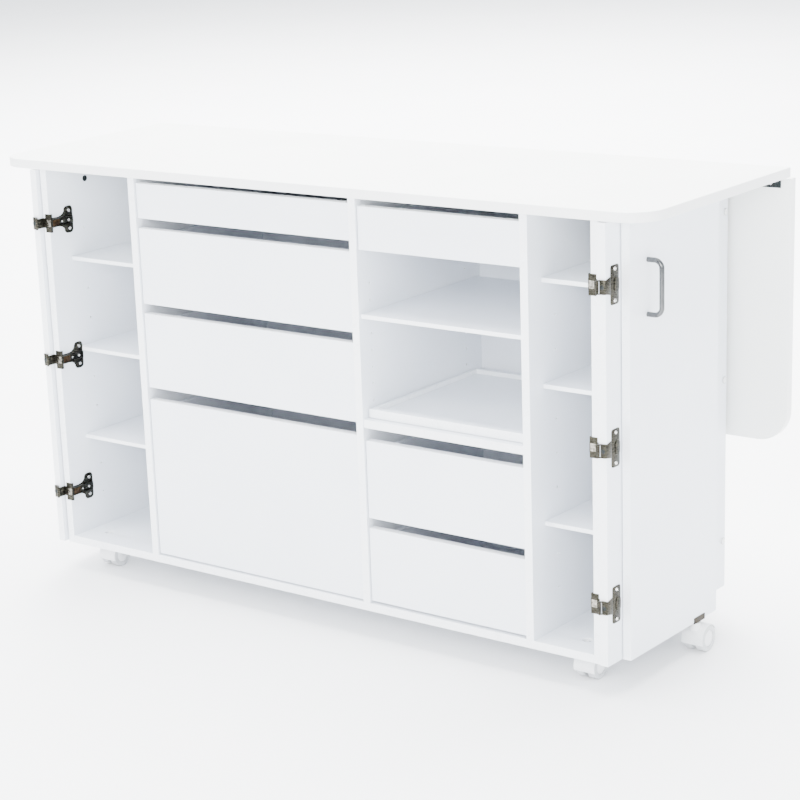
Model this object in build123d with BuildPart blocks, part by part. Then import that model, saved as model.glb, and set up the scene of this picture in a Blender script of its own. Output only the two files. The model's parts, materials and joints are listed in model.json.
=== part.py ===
"""Sewing table on casters: drawers and open columns under a worktop, folding doors and a rear drop leaf.

Millimetres, +Z up. X runs along the front, Y from the front to the back.
The origin is on the floor, under the middle of the table.
"""

from build123d import *
import os

os.makedirs("parts", exist_ok=True)

# ---------------------------------------------------------------------------
# Driving dimensions
# ---------------------------------------------------------------------------
board = 16  # panels, drawer fronts and door leaves
worktop_width = 1534
worktop_depth = 503
worktop_thickness = 18
front_overhang = 18  # worktop in front of the cabinet, as deep as the closed doors
corner_radius = 60  # worktop's front corners and drop leaf's free corners
edge_round = 1.5

body_height = 804
body_width = 1328
body_depth = 400
caster_height = 60
back_thickness = 8
column_widths = (228, 534, 358, 128)  # left to right, between the uprights

leaf_length = 498  # drop leaf, from its hinge edge to its free edge
leaf_hinge_inset = 20  # from the leaf's ends to the long hinge
leaf_axis_drop = 2.8  # hinge axis below the worktop's underside
leaf_edge_gap = 1  # from the hinge axis to the leaf's edge

shelf_thickness = 8
pin_hole_radius = 2.5
pin_hole_depth = 8
glue_line = 0.1  # keeps glued boards as separate solids

# Drawers: height of the bottom edge above the cabinet's underside, then height of the front
wide_drawers = ((19, 330), (374, 153), (547, 153), (720, 70))
middle_drawers = ((21, 147), (188, 153), (705, 81))
front_recess = 4
front_side_gap = 2
box_length = 345
box_board = 12
box_inset = 14  # from the upright to the drawer box, filled by the runner
runner_metal = 1.2

tray_shelf_z = 366  # underside of the fixed shelf below the tray
tray_shelf_recess = 2
tray_recess = 16
tray_height = 17

# Doors: the inner leaf is hinged to the cabinet, the outer leaf to the inner leaf
inner_leaf_width = 354
outer_leaf_width = 306
door_low = 63
door_high = 860
door_gap_closed = 2  # between the cabinet's front and the closed door
door_gap_folded = 3  # between the cabinet's side and the folded inner leaf
leaf_gap = 2  # between the two folded leaves
leaf_lead = 10  # folded inner leaf's edge stands this far in front of the cabinet
fold_edge_gap = 1.2  # from a leaf's edge to the fold axis
hinge_heights = (174, 462, 750)

# Casters
wheel_radius = 25
wheel_width = 17
caster_trail = 14  # from the swivel axis to the axle
caster_inset = 50  # from the cabinet side's inner face to the swivel axis
caster_setback = 57  # from the cabinet's front and back to the swivel axis
door_caster_reach = 65  # from the fold axis to the door caster's swivel axis

# ---------------------------------------------------------------------------
# Places worked out from the dimensions above
# ---------------------------------------------------------------------------
total_depth = worktop_depth + leaf_axis_drop + worktop_thickness
worktop_front = -total_depth / 2
worktop_back = worktop_front + worktop_depth
front = worktop_front + front_overhang
back = front + body_depth
base = caster_height
floor_of_columns = base + board
top = base + body_height
inner_half = body_width / 2 - board
outer_half = body_width / 2
interior_depth = body_depth - back_thickness
leaf_axis_y = worktop_back
leaf_axis_z = top - leaf_axis_drop


def column_ends():
    """The left and right X of each column, left to right."""
    ends = []
    left = -inner_half
    for width in column_widths:
        ends.append((left, left + width))
        left += width + board
    return ends


columns = column_ends()
left_column, wide_column, middle_column, right_column = columns


def block(x_ends, y_ends, z_ends, mode=Mode.ADD):
    """A rectangular block between two opposite corners, in the part being built."""
    ends = (x_ends, y_ends, z_ends)
    with Locations(Vector(*[(low + high) / 2 for low, high in ends])):
        Box(*[abs(high - low) for low, high in ends], mode=mode)


def upright_rod(x, y, z_ends, radius, mode=Mode.ADD):
    """A round rod or bore along Z, in the part being built."""
    with Locations(Vector(x, y, sum(z_ends) / 2)):
        Cylinder(radius, abs(z_ends[1] - z_ends[0]), mode=mode)


def cross_rod(x_ends, y, z, radius, mode=Mode.ADD):
    """A round rod or bore along X, in the part being built."""
    with Locations(Vector(sum(x_ends) / 2, y, z)):
        Cylinder(radius, abs(x_ends[1] - x_ends[0]), rotation=(0, 90, 0), mode=mode)


def save(builder, name):
    """Label a finished piece and write its STEP file."""
    builder.part.label = name
    export_step(builder.part, f"parts/{name}.step")


# ---------------------------------------------------------------------------
# Worktop and drop leaf
# ---------------------------------------------------------------------------
def make_worktop():
    """The slab, with both front corners rounded and the back edge straight."""
    with BuildPart() as worktop:
        with BuildSketch(Plane.XY.offset(top)):
            with Locations((0, worktop_front + worktop_depth / 2)):
                Rectangle(worktop_width, worktop_depth)
            fillet(vertices().group_by(Axis.Y)[0], corner_radius)
        extrude(amount=worktop_thickness)
        fillet(faces().sort_by(Axis.Z)[-1].edges(), edge_round)
    save(worktop, "worktop")


def make_drop_leaf():
    """The rear leaf, hanging straight down, with both free corners rounded."""
    inner_y = leaf_axis_y + leaf_axis_drop
    high = leaf_axis_z - leaf_edge_gap
    with BuildPart() as drop_leaf:
        with BuildSketch(Plane.XZ.offset(-inner_y)):
            with Locations((0, high - leaf_length / 2)):
                Rectangle(worktop_width, leaf_length)
            fillet(vertices().group_by(Axis.Y)[0], corner_radius)
        extrude(amount=-worktop_thickness)
        fillet(faces().sort_by(Axis.Y)[-1].edges(), edge_round)
    save(drop_leaf, "drop_leaf")


# ---------------------------------------------------------------------------
# Long hinge between the worktop and the drop leaf
# ---------------------------------------------------------------------------
knuckle_radius = 2.5
knuckle_pitch = 68
knuckle_gap = 0.4
hinge_flap = 16
hinge_metal = 1.2
long_pin_radius = 1.2
long_pin_play = 0.05
flap_clearance = 0.5  # from the knuckles to the flaps
long_hinge_half = worktop_width / 2 - leaf_hinge_inset
knuckle_count = int(2 * long_hinge_half // knuckle_pitch)


def knuckle_ends(parity):
    """The X ends of every second knuckle of the long hinge."""
    pitch = 2 * long_hinge_half / knuckle_count
    starts = [-long_hinge_half + pitch * i for i in range(parity, knuckle_count, 2)]
    return [(x + knuckle_gap / 2, x + pitch - knuckle_gap / 2) for x in starts]


def make_leaf_hinge():
    """The fixed half with its pin, under the worktop, and the moving half, on the leaf."""
    flap_start = knuckle_radius + flap_clearance
    with BuildPart() as leaf_hinge_fixed:
        flap_y = (leaf_axis_y - flap_start - hinge_flap, leaf_axis_y - flap_start)
        block((-long_hinge_half, long_hinge_half), flap_y, (top - hinge_metal, top))
        for ends in knuckle_ends(0):
            cross_rod(ends, leaf_axis_y, leaf_axis_z, knuckle_radius)
            block(ends, (flap_y[1], leaf_axis_y), (top - hinge_metal, leaf_axis_z + knuckle_radius))
        cross_rod((-long_hinge_half, long_hinge_half), leaf_axis_y, leaf_axis_z, long_pin_radius)
    save(leaf_hinge_fixed, "leaf_hinge_fixed")

    inner_y = leaf_axis_y + leaf_axis_drop
    with BuildPart() as leaf_hinge_moving:
        flap_z = (leaf_axis_z - flap_start - hinge_flap, leaf_axis_z - flap_start)
        block((-long_hinge_half, long_hinge_half), (inner_y - hinge_metal, inner_y), flap_z)
        for ends in knuckle_ends(1):
            cross_rod(ends, leaf_axis_y, leaf_axis_z, knuckle_radius)
            block(ends, (inner_y - hinge_metal, leaf_axis_y + knuckle_radius), (flap_z[1], leaf_axis_z))
            cross_rod(ends, leaf_axis_y, leaf_axis_z, long_pin_radius + long_pin_play, Mode.SUBTRACT)
    save(leaf_hinge_moving, "leaf_hinge_moving")


# ---------------------------------------------------------------------------
# Cabinet panels
# ---------------------------------------------------------------------------
narrow_pin_front = {-1: 98, 1: 85}  # front pin holes of the left and right narrow columns
narrow_pin_start = {-1: 89, 1: 95}  # lowest pin hole above the cabinet's underside
pin_back = 340
narrow_pin_count = 10
narrow_pin_pitch = 64
middle_pin_front = 36
middle_pin_start = 413
middle_pin_count = 8
middle_pin_pitch = 32
rail_height = 80


def pin_holes(face_x, into, front_offset, start, pitch, count):
    """Two upright rows of blind pin holes in a panel's face, drilled towards into (+1 or -1 in X)."""
    bore = (face_x, face_x + into * pin_hole_depth)
    for offset in (front_offset, pin_back):
        for i in range(count):
            z = base + start + pitch * i
            cross_rod(bore, front + offset, z, pin_hole_radius, Mode.SUBTRACT)


def narrow_pin_holes(face_x, into, side):
    """The pin holes of the left (-1) or right (+1) narrow column in one of its walls."""
    start = narrow_pin_start[side]
    pin_holes(face_x, into, narrow_pin_front[side], start, narrow_pin_pitch, narrow_pin_count)


def middle_pin_holes(face_x, into):
    """The pin holes of the middle column's open bays in one of its walls."""
    pin_holes(face_x, into, middle_pin_front, middle_pin_start, middle_pin_pitch, middle_pin_count)


def make_sides():
    """The two outer panels, notched at the front edge for the hinge straps."""
    for side, name in ((-1, "side_left"), (1, "side_right")):
        with BuildPart() as panel:
            block((side * inner_half, side * outer_half), (front, back), (base, top))
            for z in hinge_heights:
                notch_z = (z - strap_half - strap_play, z + strap_half + strap_play)
                notch_y = (front, front + strap_metal)
                block((side * inner_half, side * outer_half), notch_y, notch_z, Mode.SUBTRACT)
            narrow_pin_holes(side * inner_half, side, side)
        save(panel, name)


def make_dividers():
    """The three uprights between the columns, with pin holes where a wall faces loose shelves."""
    for number in (1, 2, 3):
        left_x = columns[number - 1][1]
        right_x = columns[number][0]
        with BuildPart() as divider:
            block((left_x, right_x), (front, front + interior_depth), (floor_of_columns, top))
            if number == 1:
                narrow_pin_holes(left_x, 1, -1)
            if number == 2:
                middle_pin_holes(right_x, -1)
            if number == 3:
                middle_pin_holes(left_x, 1)
                narrow_pin_holes(right_x, -1, 1)
        save(divider, f"divider_{number}")


def caster_places():
    """The four cabinet casters' swivel axes, with their names."""
    x = inner_half - caster_inset
    near = front + caster_setback
    far = back - caster_setback
    return (
        ("front_left", -x, near),
        ("front_right", x, near),
        ("rear_left", -x, far),
        ("rear_right", x, far),
    )


def make_bottom_and_back():
    """The bottom panel, bored for the caster sockets, and the thin back."""
    with BuildPart() as bottom_panel:
        block((-inner_half, inner_half), (front, front + interior_depth), (base, floor_of_columns))
        for _, x, y in caster_places():
            upright_rod(x, y, (base, floor_of_columns), socket_radius + socket_play, Mode.SUBTRACT)
    save(bottom_panel, "bottom_panel")

    with BuildPart() as back_panel:
        block((-inner_half, inner_half), (front + interior_depth, back), (base, top))
    save(back_panel, "back_panel")


def make_rails():
    """The rails under the worktop, at the back of each column."""
    with BuildPart() as top_rails:
        rear = front + interior_depth
        for left_x, right_x in columns:
            block((left_x, right_x), (rear - board, rear), (top - rail_height, top))
    save(top_rails, "top_rails")


# ---------------------------------------------------------------------------
# Shelves
# ---------------------------------------------------------------------------
narrow_shelf_rows = {-1: (3, 6, 9), 1: (3, 7, 10)}  # which pin hole each shelf rests on, counted from 1
narrow_shelf_front = {-1: 57, 1: 42}
middle_shelf_row = 6
middle_shelf_front = 5
pin_radius = 2.4
pin_stick_out = 9
shelf_side_gap = 0.5
shelf_notch = 10  # clears a hinge plate at the height of a shelf
shelf_notch_play = 2
pin_end_gap = 0.5  # from a pin's end to the bottom of its hole
shelf_back = 380


def narrow_shelf_heights(side):
    """The undersides of the loose shelves in the left (-1) or right (+1) narrow column."""
    rows = narrow_shelf_rows[side]
    holes = [base + narrow_pin_start[side] + narrow_pin_pitch * (row - 1) for row in rows]
    return [z + pin_radius for z in holes]


def middle_shelf_height():
    """The underside of the loose shelf in the middle column."""
    return base + middle_pin_start + middle_pin_pitch * (middle_shelf_row - 1) + pin_radius


def shelf_board(ends, front_offset, z):
    """One loose shelf."""
    block((ends[0] + shelf_side_gap, ends[1] - shelf_side_gap), (front + front_offset, front + shelf_back),
          (z, z + shelf_thickness))


def make_shelves():
    """The loose shelves, one node for each column, and the fixed shelf that carries the tray."""
    for side, ends, name in ((-1, left_column, "shelves_left"), (1, right_column, "shelves_right")):
        with BuildPart() as shelves:
            for z in narrow_shelf_heights(side):
                shelf_board(ends, narrow_shelf_front[side], z)
            for z in hinge_heights:
                notch_x = (side * (inner_half - shelf_notch), side * inner_half)
                notch_y = (front, front + plate_y[1] + shelf_notch_play)
                notch_half = plate_half + shelf_notch_play
                block(notch_x, notch_y, (z - notch_half, z + notch_half), Mode.SUBTRACT)
        save(shelves, name)

    with BuildPart() as shelf_middle:
        shelf_board(middle_column, middle_shelf_front, middle_shelf_height())
    save(shelf_middle, "shelf_middle")

    with BuildPart() as tray_shelf:
        low = base + tray_shelf_z
        block(middle_column, (front + tray_shelf_recess, front + interior_depth), (low, low + board))
    save(tray_shelf, "tray_shelf")


def pin_set(ends, front_offset, z):
    """The four pins under one loose shelf, each half in its hole."""
    for offset in (front_offset, pin_back):
        for wall, inward in ((ends[0], 1), (ends[1], -1)):
            x_ends = (wall - inward * (pin_hole_depth - pin_end_gap), wall + inward * pin_stick_out)
            cross_rod(x_ends, front + offset, z, pin_radius)


def make_shelf_pins():
    """Every shelf pin, in the rows of holes."""
    with BuildPart() as shelf_pins:
        for side, ends in ((-1, left_column), (1, right_column)):
            for z in narrow_shelf_heights(side):
                pin_set(ends, narrow_pin_front[side], z - pin_radius)
        pin_set(middle_column, middle_pin_front, middle_shelf_height() - pin_radius)
    save(shelf_pins, "shelf_pins")


# ---------------------------------------------------------------------------
# Drawers and their runners
# ---------------------------------------------------------------------------
runner_start = 22
roller_radius = 8
roller_offset = 12  # from a profile's end to its roller's axis
roller_width = 8
box_lift = 10  # from the bottom of a drawer front to the bottom of its box
box_drop = 20  # from the top of a drawer front to the top of its box
box_floor = (4, 10)  # the drawer's floor, above the bottom of its box
moving_profile_height = 18  # above the bottom of the box
moving_profile_tuck = 10  # how far the profile reaches under the drawer side
moving_roller_height = 3.5  # roller axis above the bottom of the box
fixed_profile = (-6, 24)  # bottom and top, from the bottom of the box
fixed_profile_ledge = 10
fixed_roller_height = 8.5


def drawer_list():
    """Each drawer's name, column and row."""
    drawers = []
    for word, ends, rows in (("wide", wide_column, wide_drawers), ("middle", middle_column, middle_drawers)):
        for i, row in enumerate(reversed(rows)):
            drawers.append((f"drawer_{word}_{i + 1}", ends, row))
    return drawers


def drawer_front_ends(ends, row):
    """The corners of a drawer front, as X, Y and Z ends."""
    low = base + row[0]
    face = front + front_recess
    return (ends[0] + front_side_gap, ends[1] - front_side_gap), (face, face + board), (low, low + row[1])


def make_drawer(name, ends, row):
    """A drawer's front, and its box with the two moving runner profiles."""
    x_ends, y_ends, z_ends = drawer_front_ends(ends, row)
    with BuildPart() as drawer_front:
        block(x_ends, y_ends, z_ends)
        fillet(faces().sort_by(Axis.Y)[0].edges(), edge_round / 2)
    save(drawer_front, f"{name}_front")

    box_front = y_ends[1]
    box_back = box_front + box_length
    low = z_ends[0] + box_lift
    high = z_ends[1] - box_drop
    left_x = ends[0] + box_inset
    right_x = ends[1] - box_inset
    with BuildPart() as drawer_box:
        for outer_x, inward in ((left_x, 1), (right_x, -1)):
            block((outer_x, outer_x + inward * box_board), (box_front, box_back), (low, high))
            moving_runner(outer_x, inward, low, (box_front, box_back))
        inner_x = (left_x + box_board + glue_line, right_x - box_board - glue_line)
        block(inner_x, (box_back - box_board, box_back), (low, high))
        floor_z = (low + box_floor[0], low + box_floor[1])
        block(inner_x, (box_front, box_back - box_board - glue_line), floor_z)
    save(drawer_box, f"{name}_box")


def moving_runner(outer_x, inward, low, y_ends):
    """The profile on a drawer side: under the board, up its outside, and a roller at the back."""
    web = (outer_x - inward * glue_line, outer_x - inward * (glue_line + runner_metal))
    under = low - glue_line
    high = low + moving_profile_height
    lip = (web[1], web[1] - inward * roller_width)
    block((web[1], outer_x + inward * moving_profile_tuck), y_ends, (under - runner_metal, under))
    block(web, y_ends, (under - runner_metal, high))
    block(lip, y_ends, (high - runner_metal, high))
    cross_rod(lip, y_ends[1] - roller_offset, low + moving_roller_height, roller_radius)


def fixed_runner(wall_x, inward, low, y_ends):
    """The profile on an upright, with a roller at its front end."""
    web = (wall_x, wall_x + inward * runner_metal)
    bottom = low + fixed_profile[0]
    block(web, y_ends, (bottom, low + fixed_profile[1]))
    block((wall_x, wall_x + inward * fixed_profile_ledge), y_ends, (bottom, bottom + runner_metal))
    roller_x = (web[1], web[1] + inward * roller_width)
    cross_rod(roller_x, y_ends[0] + roller_offset, low + fixed_roller_height, roller_radius)


def make_drawers():
    """All seven drawers, and the fixed runners that carry them."""
    for name, ends, row in drawer_list():
        make_drawer(name, ends, row)
    with BuildPart() as drawer_runners:
        for _, ends, row in drawer_list():
            low = base + row[0] + box_lift
            y_ends = (front + runner_start, front + runner_start + box_length)
            fixed_runner(ends[0], 1, low, y_ends)
            fixed_runner(ends[1], -1, low, y_ends)
    save(drawer_runners, "drawer_runners")


# ---------------------------------------------------------------------------
# Pull-out tray
# ---------------------------------------------------------------------------
tray_side_gap = 3
tray_lift = 1
tray_length = 350
tray_board = 8
tray_lip = 12


def make_tray():
    """The shallow tray: a floor with a lip in front and low strips on the other sides."""
    low = base + tray_shelf_z + board + tray_lift
    high = low + tray_height
    x_ends = (middle_column[0] + tray_side_gap, middle_column[1] - tray_side_gap)
    y_ends = (front + tray_recess, front + tray_recess + tray_length)
    inside_y = (y_ends[0] + tray_lip + glue_line, y_ends[1] - tray_board - glue_line)
    strip_low = low + tray_board + glue_line
    with BuildPart() as tray:
        block(x_ends, (y_ends[0], y_ends[0] + tray_lip), (low, high))
        block(x_ends, (inside_y[0], y_ends[1]), (low, low + tray_board))
        for outer_x, inward in ((x_ends[0], 1), (x_ends[1], -1)):
            block((outer_x, outer_x + inward * tray_board), inside_y, (strip_low, high))
        block(x_ends, (y_ends[1] - tray_board, y_ends[1]), (strip_low, high))
    save(tray, "tray")


# ---------------------------------------------------------------------------
# Rear supports for the raised leaf
# ---------------------------------------------------------------------------
fin_outer = inner_half - 4
fin_depth = 80
fin_top_gap = 1.5
gate_y = (442, 458)
gate_length = 470
gate_gap = 7  # from the fin to the gate's hinged edge
gate_low = 66
gate_high = 858
gate_hinge_heights = (154, 474, 794)
gate_knuckle_radius = 3
gate_flap = 22
fin_flap = 17
gate_bolt_offset = 8  # from the hinge axis to its through bolt
gate_hinge_half = 25
cap_radius = 6.5
cap_height = 2.5


def make_rear_supports():
    """The upright fins behind the cabinet, the gates folded between them, and their hinges."""
    with BuildPart() as rear_fins:
        for side in (-1, 1):
            x_ends = (side * fin_outer, side * (fin_outer - board))
            block(x_ends, (back, back + fin_depth), (base, top - fin_top_gap))
    save(rear_fins, "rear_fins")

    hinged_x = fin_outer - board - gate_gap
    with BuildPart() as gates:
        for side in (-1, 1):
            x_ends = (side * hinged_x, side * (hinged_x - gate_length))
            block(x_ends, (front + gate_y[0], front + gate_y[1]), (gate_low, gate_high))
    save(gates, "gates")

    with BuildPart() as gate_hinges:
        for side in (-1, 1):
            for z in gate_hinge_heights:
                gate_hinge(side, hinged_x, z)
    save(gate_hinges, "gate_hinges")


def gate_hinge(side, hinged_x, z):
    """One gate hinge in its folded position, with the cap of its through bolt on the fin's outer face."""
    rear = front + gate_y[1]
    fin_inner = fin_outer - board
    z_ends = (z - gate_hinge_half, z + gate_hinge_half)
    axis_x = fin_inner - gate_knuckle_radius
    axis_y = rear + gate_knuckle_radius
    upright_rod(side * axis_x, axis_y, z_ends, gate_knuckle_radius)
    block((side * axis_x, side * (hinged_x - gate_flap)), (rear, rear + hinge_metal), z_ends)
    block((side * (fin_inner - hinge_metal), side * fin_inner), (axis_y, axis_y + fin_flap), z_ends)
    cross_rod((side * fin_outer, side * (fin_outer + cap_height)), axis_y + gate_bolt_offset, z, cap_radius)


# ---------------------------------------------------------------------------
# Folding doors
# ---------------------------------------------------------------------------
strap_half = 10
strap_play = 0.5
strap_metal = 1.5
plate_half = 28
plate_y = (42, 66)
plate_metal = 2
arm_metal = 6
boss_metal = 8
boss_margin = 2  # from the plate's ends to the raised boss
arm_lap = 4  # the arm's overlap on the plate
pin_strap_half = 1  # half the strap's thickness at the pin
lug_front_half = 1.5  # half the lug's thickness at the pin
leg_inset = 0.6  # from the side's outer face to the strap's leg
leg_metal = 1.8
door_pin_radius = 1.2
door_pin_play = 0.05
door_knuckle_radius = 2.4
lug_start = 10.4
lug_end = 20.4
cup_radius = 17.5
cup_depth = 11.5
cup_centre = 17
flange_half = 34.5
flange_y = (5, 31)
flange_metal = 1.2

# Right-hand door; the left-hand door is its mirror image in X.
pivot_x = outer_half + (door_gap_folded + door_gap_closed + board - leaf_lead) / 2
pivot_y = front - (door_gap_folded + door_gap_closed + board + leaf_lead) / 2
inner_leaf_x = (outer_half + door_gap_folded, outer_half + door_gap_folded + board)
outer_leaf_x = (inner_leaf_x[1] + leaf_gap, inner_leaf_x[1] + leaf_gap + board)
leaf_front = front - leaf_lead
leaf_rear = leaf_front + inner_leaf_width
fold_x = inner_leaf_x[1] + leaf_gap / 2
fold_y = leaf_rear + fold_edge_gap
fold_knuckle_radius = 2.2
fold_knuckle_play = 0.4
fold_end_play = 0.5  # above and below a fold hinge in its notch
fold_middle_gap = 0.4  # between the middle knuckle and the end knuckles
fold_half = 25
fold_inner_half = 8.4
fold_flap = 22
fold_metal = 0.85
fold_pin_radius = 1.0

handle_z = base + 672
handle_spacing = 96
handle_standoff = 28
handle_bar = 4.5
handle_bend = 14
handle_y = front + 97


def mirrored(side, *values):
    """X values of the right-hand door, moved to the door on side (+1 right, -1 left)."""
    return tuple(side * value for value in values)


def make_door_leaves(side, word):
    """The inner leaf, pocketed for its hinge cups, and the outer leaf, pocketed for its caster."""
    notch = fold_knuckle_radius + fold_knuckle_play
    notch_half = fold_half + fold_end_play
    with BuildPart() as inner_leaf:
        block(mirrored(side, *inner_leaf_x), (leaf_front, leaf_rear), (door_low, door_high))
        for z in hinge_heights:
            pocket = mirrored(side, inner_leaf_x[1] - cup_depth, inner_leaf_x[1])
            cross_rod(pocket, front + cup_centre, z, cup_radius, Mode.SUBTRACT)
            upright_rod(side * fold_x, fold_y, (z - notch_half, z + notch_half), notch, Mode.SUBTRACT)
    save(inner_leaf, f"door_{word}_inner")

    caster_y = fold_y - door_caster_reach
    with BuildPart() as outer_leaf:
        outer_y = (leaf_rear - outer_leaf_width, leaf_rear)
        block(mirrored(side, *outer_leaf_x), outer_y, (door_low, door_high))
        for z in hinge_heights:
            upright_rod(side * fold_x, fold_y, (z - notch_half, z + notch_half), notch, Mode.SUBTRACT)
        centre_x = side * sum(outer_leaf_x) / 2
        socket_z = (door_low, door_low + door_socket_depth)
        upright_rod(centre_x, caster_y, socket_z, door_socket_radius, Mode.SUBTRACT)
    save(outer_leaf, f"door_{word}_outer")


def make_hinge_plates():
    """The fixed halves of the six door hinges: plate, arm, strap round the panel's edge, and pin."""
    with BuildPart() as door_hinge_plates:
        for side in (-1, 1):
            for z in hinge_heights:
                hinge_plate(side, z)
    save(door_hinge_plates, "door_hinge_plates")


def hinge_plate(side, z):
    """One fixed hinge half, added to the part being built."""
    strap_z = (z - strap_half, z + strap_half)
    leg_x = (outer_half + leg_inset, outer_half + leg_inset + leg_metal)
    plate_ends = (front + plate_y[0], front + plate_y[1])
    block(mirrored(side, inner_half - plate_metal, inner_half), plate_ends, (z - plate_half, z + plate_half))
    boss_x = mirrored(side, inner_half - boss_metal, inner_half - plate_metal)
    block(boss_x, (plate_ends[0] + boss_margin, plate_ends[1] - boss_margin), strap_z)
    block(mirrored(side, inner_half - arm_metal, inner_half), (front, plate_ends[0] + arm_lap), strap_z)
    block(mirrored(side, inner_half - arm_metal, leg_x[1]), (front, front + strap_metal), strap_z)
    block(mirrored(side, *leg_x), (pivot_y, front + strap_metal), strap_z)
    tongue_y = (pivot_y - pin_strap_half, pivot_y + pin_strap_half)
    block(mirrored(side, leg_x[0], pivot_x), tongue_y, strap_z)
    upright_rod(side * pivot_x, pivot_y, strap_z, door_knuckle_radius)
    upright_rod(side * pivot_x, pivot_y, (z - lug_end, z + lug_end), door_pin_radius)


def make_door_hinges(side, word):
    """On the inner leaf: the three hinge cups with their lugs, and the leaf's half of the fold hinges."""
    with BuildPart() as inner_hinges:
        for z in hinge_heights:
            hinge_cup(side, z)
            fold_flap_inner(side, z)
    save(inner_hinges, f"door_{word}_inner_hinges")


def hinge_cup(side, z):
    """One moving hinge half: cup in its pocket, flange on the leaf, and two lugs round the leaf's edge."""
    face = inner_leaf_x[1]
    cross_rod(mirrored(side, face - cup_depth, face), front + cup_centre, z, cup_radius)
    flange_ends = (front + flange_y[0], front + flange_y[1])
    block(mirrored(side, face, face + flange_metal), flange_ends, (z - flange_half, z + flange_half))
    for up in (-1, 1):
        lug_z = (z + up * lug_start, z + up * lug_end)
        block(mirrored(side, face, face + flange_metal), (leaf_front, flange_ends[0]), lug_z)
        block(mirrored(side, pivot_x, face + flange_metal), (pivot_y - lug_front_half, leaf_front), lug_z)
        upright_rod(side * pivot_x, pivot_y, lug_z, door_knuckle_radius)
        upright_rod(side * pivot_x, pivot_y, lug_z, door_pin_radius + door_pin_play, Mode.SUBTRACT)


def fold_flap_inner(side, z):
    """The inner leaf's half of one fold hinge: a flap, the two end knuckles and the pin."""
    face = inner_leaf_x[1]
    flap_x = mirrored(side, face, face + fold_metal)
    clear_y = fold_y - fold_knuckle_radius - fold_knuckle_play
    block(flap_x, (clear_y - fold_flap, clear_y), (z - fold_half, z + fold_half))
    for up in (-1, 1):
        end_z = (z + up * fold_inner_half, z + up * fold_half)
        upright_rod(side * fold_x, fold_y, end_z, fold_knuckle_radius)
        block(flap_x, (clear_y, fold_y), end_z)
    upright_rod(side * fold_x, fold_y, (z - fold_half, z + fold_half), fold_pin_radius)


# ---------------------------------------------------------------------------
# Fittings on the outer leaf: fold hinges, caster bracket and handle
# ---------------------------------------------------------------------------
bracket_half = 19
bracket_metal = 1.5
bracket_height = 9
bracket_plate = 2
door_socket_radius = 5.5
door_socket_depth = 30
stem_radius = 4
stem_play = 0.05
stem_length = 16
stem_end_gap = 1


def make_outer_fittings(side, word):
    """The outer leaf's halves of the fold hinges, and the steel bracket with the caster's socket."""
    centre_x = sum(outer_leaf_x) / 2
    caster_y = fold_y - door_caster_reach
    bracket_y = (caster_y - bracket_half, caster_y + bracket_half)
    outer = outer_leaf_x[1]
    with BuildPart() as outer_fittings:
        for z in hinge_heights:
            fold_flap_outer(side, z)
        low = door_low - bracket_plate
        block(mirrored(side, outer_leaf_x[0], outer + bracket_metal), bracket_y, (low, door_low))
        block(mirrored(side, outer, outer + bracket_metal), bracket_y, (low, door_low + bracket_height))
        upright_rod(side * centre_x, caster_y, (low, door_low + door_socket_depth), door_socket_radius)
        bore_top = caster_top + stem_length + stem_end_gap
        upright_rod(side * centre_x, caster_y, (low, bore_top), stem_radius + stem_play, Mode.SUBTRACT)
    save(outer_fittings, f"door_{word}_outer_fittings")


def fold_flap_outer(side, z):
    """The outer leaf's half of one fold hinge: a flap and the middle knuckle."""
    face = outer_leaf_x[0]
    flap_x = mirrored(side, face, face - fold_metal)
    clear_y = fold_y - fold_knuckle_radius - fold_knuckle_play
    middle_half = fold_inner_half - fold_middle_gap
    middle_z = (z - middle_half, z + middle_half)
    block(flap_x, (clear_y - fold_flap, clear_y), (z - fold_half, z + fold_half))
    block(flap_x, (clear_y, fold_y), middle_z)
    upright_rod(side * fold_x, fold_y, middle_z, fold_knuckle_radius)
    upright_rod(side * fold_x, fold_y, middle_z, fold_pin_radius + door_pin_play, Mode.SUBTRACT)


def make_handle(side, word):
    """The round-bar bow handle on the outer leaf's outer face."""
    foot_x, bar_x = mirrored(side, outer_leaf_x[1], outer_leaf_x[1] + handle_standoff)
    low_z = handle_z - handle_spacing / 2
    high_z = handle_z + handle_spacing / 2
    with BuildPart() as handle:
        with BuildLine() as path:
            corners = [(foot_x, handle_y, low_z), (bar_x, handle_y, low_z)]
            corners += [(bar_x, handle_y, high_z), (foot_x, handle_y, high_z)]
            FilletPolyline(*corners, radius=handle_bend)
        with BuildSketch(Plane(origin=corners[0], z_dir=(side, 0, 0))):
            Circle(handle_bar)
        sweep(path=path.line)
    save(handle, f"handle_{word}")


# ---------------------------------------------------------------------------
# Casters
# ---------------------------------------------------------------------------
caster_top = 58.5
socket_radius = 9.8
socket_play = 0.05
socket_top = base + 10
socket_flange = 16
hood_radius = 27.5
hood_play = 0.8
web_half = 4
axle_radius = 3
axle_play = 0.05
neck_radius = 10
hub_radius = 16
hub_recess = 3
hub_boss_drop = 1  # from the wheel's face down to the boss in its hub
tread_round = 2.5
hood_rear = 6  # the hood's rear opening starts this far behind the axle
hood_rear_height = 12
hood_skirt = 8  # the hood ends this far below the axle
neck_start = 18  # from the axle up to the start of the neck
axle_end = 2  # the axle's overlap into each wheel
cut_margin = 1  # how far a cut runs past the hood
socket_plate = 1


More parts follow.
